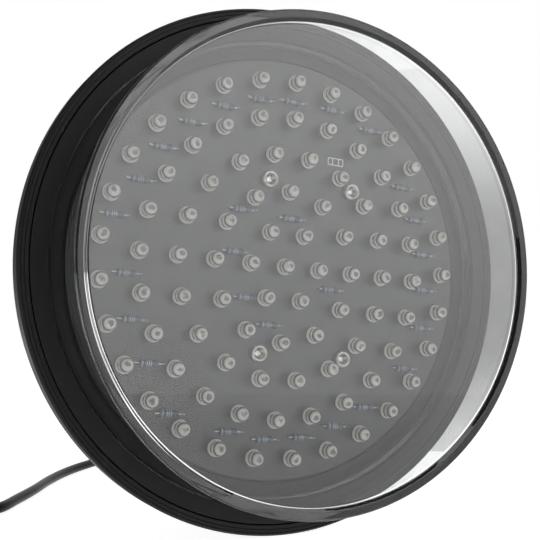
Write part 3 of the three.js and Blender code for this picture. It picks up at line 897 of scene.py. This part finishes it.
def strain_relief():
    """The soft tapered sleeve behind the gland's nut, ringed along its length."""
    start = GLAND_NUT_END
    outline = soften([
        (2.4, start - 5, 0), (3.1, start - 5, 0), (3.1, start + GAP, 0), (4.2, start + GAP, 0.2),
        (4.2, start + 3, 0.3), (2.8, start + 3.3, 0),
    ], hold=0.05)
    outline += rings_between(start + 3.5, RELIEF_END - 2.5, 8, (2.8, 2.5), (3.9, 3.1))
    outline += [(2.8, RELIEF_END - 2.2), (2.85, RELIEF_END - 0.4), (2.6, RELIEF_END), (2.4, RELIEF_END)]
    sleeve = revolve(outline, 40, GLAND, closed=True)
    piece("cable_relief", sleeve, MATERIALS["rubber"], ["strain_relief"])


# ------------------------------------------------------------------ coil tie and connector


def rounded_rectangle(low, high, radius):
    """Points round a rectangle between two corners, with rounded corners."""
    points = []
    steps = 5
    for quarter, (x, z) in enumerate((
        (high[0] - radius, high[1] - radius), (low[0] + radius, high[1] - radius),
        (low[0] + radius, low[1] + radius), (high[0] - radius, low[1] + radius),
    )):
        for k in range(steps + 1):
            angle = math.pi / 2 * (quarter + k / steps)
            points.append((x + radius * math.cos(angle), z + radius * math.sin(angle)))
    return points


def coil_tie():
    """A rubber strap round the coil's turns."""
    half = 6.3
    low, high = -GAP, COIL_HEIGHT + GAP
    thickness, side = 0.7, 2.5
    bm = bmesh.new()
    loops = []
    for grow, y in ((0, -side), (thickness, -side), (thickness, side), (0, side)):
        corners = rounded_rectangle((-half - grow, low - grow), (half + grow, high + grow), 0.6 + grow)
        loops.append([bm.verts.new((x, y, z)) for x, z in corners])
    for near, far in zip(loops, loops[1:] + loops[:1]):
        for k in range(len(near)):
            after = (k + 1) % len(near)
            bm.faces.new((near[k], near[after], far[after], far[k]))
    bmesh.ops.recalc_face_normals(bm, faces=bm.faces)
    centre = Vector((*COIL_CENTRE, COIL_BOTTOM))
    reach = Vector((math.cos(TIE_ANGLE), math.sin(TIE_ANGLE), 0)) * COIL_RADIUS
    move = Matrix.Translation(centre + reach) @ Matrix.Rotation(TIE_ANGLE, 4, "Z")
    bmesh.ops.transform(bm, matrix=move, verts=bm.verts)
    return piece("cable_tie", bm, MATERIALS["rubber"], ["coil_tie"])


def plug_boot():
    """The connector's ringed rubber boot, which the cable goes into."""
    y = PLUG_START
    outline = [(0, y), (2.7, y), (3, y + 0.3), (3.1, y + 1.6), (2.8, y + 1.9)]
    outline += rings_between(y + 2, y + 14, 5, (2.8, 4.3), (3.3, 5.1))
    outline += soften([
        (4.4, y + 14.2, 0), (5.7, y + 15, 0.3), (5.8, y + BOOT_LENGTH, 0.3), (0, y + BOOT_LENGTH, 0),
        (0, y + 14, 0),
    ], hold=0.05)[:-1]
    sleeve = revolve(outline, 40, PLUG)
    return piece("connector_boot", sleeve, MATERIALS["rubber"], ["plug_boot"])


def plug_body():
    """The connector's body: a fluted collar, a neck, a sealing groove and a nose with two sockets."""
    y = PLUG_COLLAR
    neck = y + COLLAR_LENGTH
    outline = soften([
        (0, y, 0), (7.2, y, 0.4), (7.2, y + 1, 0), (7.2, y + 1.5, 0), (7.2, y + 7.5, 0), (7.2, y + 8, 0),
        (7.2, neck, 0.4), (5, neck, 0), (5, y + 15, 0), (5.9, y + 15, 0.2), (5.9, y + 17.5, 0.2),
        (4.6, y + 17.5, 0), (4.6, y + 20, 0), (5.2, y + 20, 0.2), (5.2, y + 24, 0.4), (0, y + 24, 0),
    ], hold=0.05)
    body = revolve(outline, 160, PLUG, shape=fluted(20, 0.5, y + 1.2, y + 7.8, 6.5))
    obj = piece("connector_body", body, MATERIALS["black_plastic"], ["plug_body"])
    for side in SOCKETS:
        cut(obj, rod(1.4, y + 15, y + 25, centre=(PLUG[0] + side, PLUG[1])))
    return obj


def plug_fittings():
    """The two socket contacts and the sealing ring on the connector's nose."""
    y = PLUG_COLLAR
    socket = soften([
        (0.6, y + 15.3, 0.1), (1.1, y + 15.3, 0.1), (1.1, y + 23.8, 0.15), (0.6, y + 23.8, 0.15),
    ], hold=0.03)
    fittings = []
    for i, side in enumerate(SOCKETS, start=1):
        contact = revolve(socket, 24, (PLUG[0] + side, PLUG[1]), closed=True)
        name, node = f"connector_contact_{i}", f"plug_contact_{i}"
        fittings.append(piece(name, contact, MATERIALS["brass"], [node]))
    radius, thick, steps = 5.25, 0.62, 16
    angles = [2 * math.pi * k / steps for k in range(steps)]
    section = [(radius + thick * math.cos(a), y + 18.9 + thick * math.sin(a)) for a in angles]
    seal = revolve(section, 64, PLUG, closed=True)
    fittings.append(piece("connector_seal", seal, MATERIALS["rubber"], ["plug_seal"]))
    return fittings


def coupling_nut():
    """The connector's fluted nut, threaded inside, which turns on the body's neck."""
    y = PLUG_COLLAR + COLLAR_LENGTH + GAP
    outline = soften([
        (5.4, y + 5, 0), (5.4, y, 0.2), (8.4, y, 0.3), (9, y + 0.8, 0.3), (9, y + 1.4, 0), (9, y + 1.8, 0),
        (9, y + 10.2, 0), (9, y + 10.6, 0), (9, y + 11.2, 0.3), (8.4, y + 12, 0.3), (6.6, y + 12, 0.2),
    ], hold=0.05)[1:]
    outline += rings_between(y + 11.4, y + 5.4, 5, (6.35, 6.35), (6.65, 6.65)) + [(6.35, y + 5)]
    outline.append((5.4, y + 5))
    nut = revolve(outline, 256, PLUG, closed=True, shape=fluted(32, 0.45, y + 1.6, y + 10.4, 8))
    plastic = MATERIALS["black_plastic"]
    return piece("connector_nut", nut, plastic, ["coupling_nut"], body="coupling_nut")


# ------------------------------------------------------------------ CAD pieces that stay


def finish_cad_pieces():
    """Better materials for the pieces inside the shell, whose shapes stay as the CAD has them."""
    standoffs = [f"board_standoff_{i}" for i in (1, 2, 3, 4)]
    for material, nodes in (
        ("brass", [*standoffs, "driver_inductor"]),
        ("steel", ["driver_screw_1", "driver_screw_2"]),
        ("driver_board", ["driver_board"]),
        ("sleeve", ["driver_capacitor_1", "driver_capacitor_2"]),
        ("black_plastic", ["bridge_rectifier"]),
        ("terminal", ["terminal_block"]),
        ("red", ["led_lead_positive"]),
        ("black_wire", ["led_lead_negative"]),
        ("brown", ["supply_core_live"]),
        ("blue", ["supply_core_neutral"]),
    ):
        for node in nodes:
            for slot in frame["nodes"][node].material_slots:
                slot.material = MATERIALS[material]


# ------------------------------------------------------------------ stage


WHITE = 1.0                      # the world's strength behind the light on the right
DIM = 0.25                       # and its strength elsewhere
# How far right and how far back a direction points, from where it is dim to where it is white.
RIGHTWARD = (-0.05, 0.1)
BACKWARD = (-0.2, 0.4)
FLOOR_SIZE = 6000.0
FLOOR_GLOW = 0.9
FLOOR_WHITE = 0.6
SOFTBOX_PLACE = (340.0, -640.0, 50.0)
SOFTBOX_SIZE = (720.0, 900.0)
SOFTBOX_GLOW = (1.1, 3.1)        # at its bottom and its top
CARD_SEEN_THROUGH = Vector((77, -20, 0))
CARD_BEHIND = 130.0
CARD_OFFSET = Vector((30, 0, -5))
CARD_SIZE = (160.0, 240.0)
CARD_GREY = 0.24
CARD_PALE = 0.85
CARD_FADE = (0.1, 0.48)          # from grey to pale, as shares of its height from its middle

CAMERA_TARGET = Vector((-5.75, -7.0, 2.89))
CAMERA_AZIMUTH = math.radians(-25.78)
CAMERA_ELEVATION = math.radians(-4.82)
CAMERA_DISTANCE = 299.6
FOCAL_LENGTH = 59.36
SHIFT = -0.0228                  # as a share of the picture's width


def camera_place():
    """The direction back to the camera, and its place."""
    back = Vector((
        math.sin(CAMERA_AZIMUTH) * math.cos(CAMERA_ELEVATION),
        -math.cos(CAMERA_AZIMUTH) * math.cos(CAMERA_ELEVATION),
        math.sin(CAMERA_ELEVATION),
    ))
    return back, CAMERA_TARGET + back * CAMERA_DISTANCE


def camera():
    """The camera, in front of the light, to its left and a little below its middle."""
    data = bpy.data.cameras.new("camera")
    data.lens = FOCAL_LENGTH
    data.sensor_width = 36
    data.shift_y = SHIFT
    data.clip_start = 10 * MM
    obj = bpy.data.objects.new("camera", data)
    back, place = camera_place()
    obj.location = place * MM
    obj.rotation_euler = (-back).to_track_quat("-Z", "Y").to_euler()
    bpy.context.scene.collection.objects.link(obj)
    bpy.context.scene.camera = obj


def glowing(name, white=0.0):
    """A material that glows white, and its shader node, whose Emission Strength is set afterwards."""
    material, bsdf = shader(name, (white, white, white), 1.0, Specular_IOR_Level=0.0)
    bsdf.inputs["Emission Color"].default_value = (1, 1, 1, 1)
    return material, bsdf


def part_of(tree, output, axis):
    """One axis of a texture coordinate."""
    place = tree.nodes.new("ShaderNodeTexCoord")
    split = tree.nodes.new("ShaderNodeSeparateXYZ")
    tree.links.new(place.outputs[output], split.inputs["Vector"])
    return split.outputs[axis]


def panel(name, centre, facing, size, material):
    """A flat rectangle of the stage, facing a point."""
    bm = bmesh.new()
    bmesh.ops.create_grid(bm, x_segments=1, y_segments=1, size=0.5)
    mesh = bpy.data.meshes.new(name)
    bm.to_mesh(mesh)
    bm.free()
    obj = bpy.data.objects.new(name, mesh)
    mesh.materials.append(material)
    obj.location = Vector(centre) * MM
    obj.rotation_euler = (Vector(facing) - Vector(centre)).to_track_quat("Z", "Y").to_euler()
    obj.scale = (size[0] * MM, size[1] * MM, 1)
    bpy.context.scene.collection.objects.link(obj)
    return obj


def floor():
    """The pale floor. It glows, so that it stays white under the dim side of the world."""
    material, bsdf = glowing("floor", FLOOR_WHITE)
    bsdf.inputs["Emission Strength"].default_value = FLOOR_GLOW
    panel("floor", (0, 0, FLOOR), (0, 0, 0), (FLOOR_SIZE, FLOOR_SIZE), material)


def softbox():
    """The large light in front and to the right, which the window mirrors towards the camera."""
    material, bsdf = glowing("softbox")
    tree = material.node_tree
    glow = remap(tree, part_of(tree, "Generated", "Y"), target=SOFTBOX_GLOW)
    tree.links.new(glow, bsdf.inputs["Emission Strength"])
    obj = panel("softbox", SOFTBOX_PLACE, (0, 0, 0), SOFTBOX_SIZE, material)
    obj.visible_camera = False


def grey_card():
    """A grey card close behind the light on the right, seen through the lens. Its ends are paler."""
    material, bsdf = glowing("grey_card")
    tree = material.node_tree
    reach = tree.nodes.new("ShaderNodeMath")
    reach.operation = "ABSOLUTE"
    tree.links.new(part_of(tree, "Object", "Y"), reach.inputs[0])
    glow = remap(tree, reach.outputs["Value"], CARD_FADE, (CARD_GREY, CARD_PALE), "SMOOTHSTEP")
    tree.links.new(glow, bsdf.inputs["Emission Strength"])
    seen_from = camera_place()[1]
    away = (CARD_SEEN_THROUGH - seen_from).normalized()
    centre = CARD_SEEN_THROUGH + away * CARD_BEHIND + CARD_OFFSET
    obj = panel("grey_card", centre, seen_from, CARD_SIZE, material)
    obj.visible_camera = False
    obj.visible_diffuse = False
    obj.visible_shadow = False


def world():
    """White behind the light on the right, and dim on the left and in front."""
    data = bpy.data.worlds.new("studio")
    bpy.context.scene.world = data
    data.use_nodes = True
    tree = data.node_tree
    background = tree.nodes["Background"]
    background.inputs["Color"].default_value = (1, 1, 1, 1)
    both = tree.nodes.new("ShaderNodeMath")
    both.operation = "MULTIPLY"
    right = remap(tree, part_of(tree, "Generated", "X"), RIGHTWARD)
    back = remap(tree, part_of(tree, "Generated", "Y"), BACKWARD)
    tree.links.new(right, both.inputs[0])
    tree.links.new(back, both.inputs[1])
    strength = remap(tree, both.outputs["Value"], target=(DIM, WHITE))
    tree.links.new(strength, background.inputs["Strength"])


def render_look():
    """Plain colours, and enough bounces for light to pass through the lens and the LEDs."""
    scene = bpy.context.scene
    scene.view_settings.view_transform = "Standard"
    scene.cycles.use_denoising = True
    scene.cycles.max_bounces = 16
    scene.cycles.transmission_bounces = 14
    scene.cycles.transparent_max_bounces = 16


# ------------------------------------------------------------------ assembly

camera()
floor()
softbox()
grey_card()
world()
render_look()

cord, cord_length, cord_exit = cable()
lens()
gasket()
clamp_ring()
flange()
rear_shell()
flange_screws()
board()
board_screws()
all_leds()
resistors()
printed_outline()
gland()
strain_relief()
finish_cad_pieces()

coil_tie()
plug_boot()
plug_body()
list(plug_fittings())
coupling_nut()
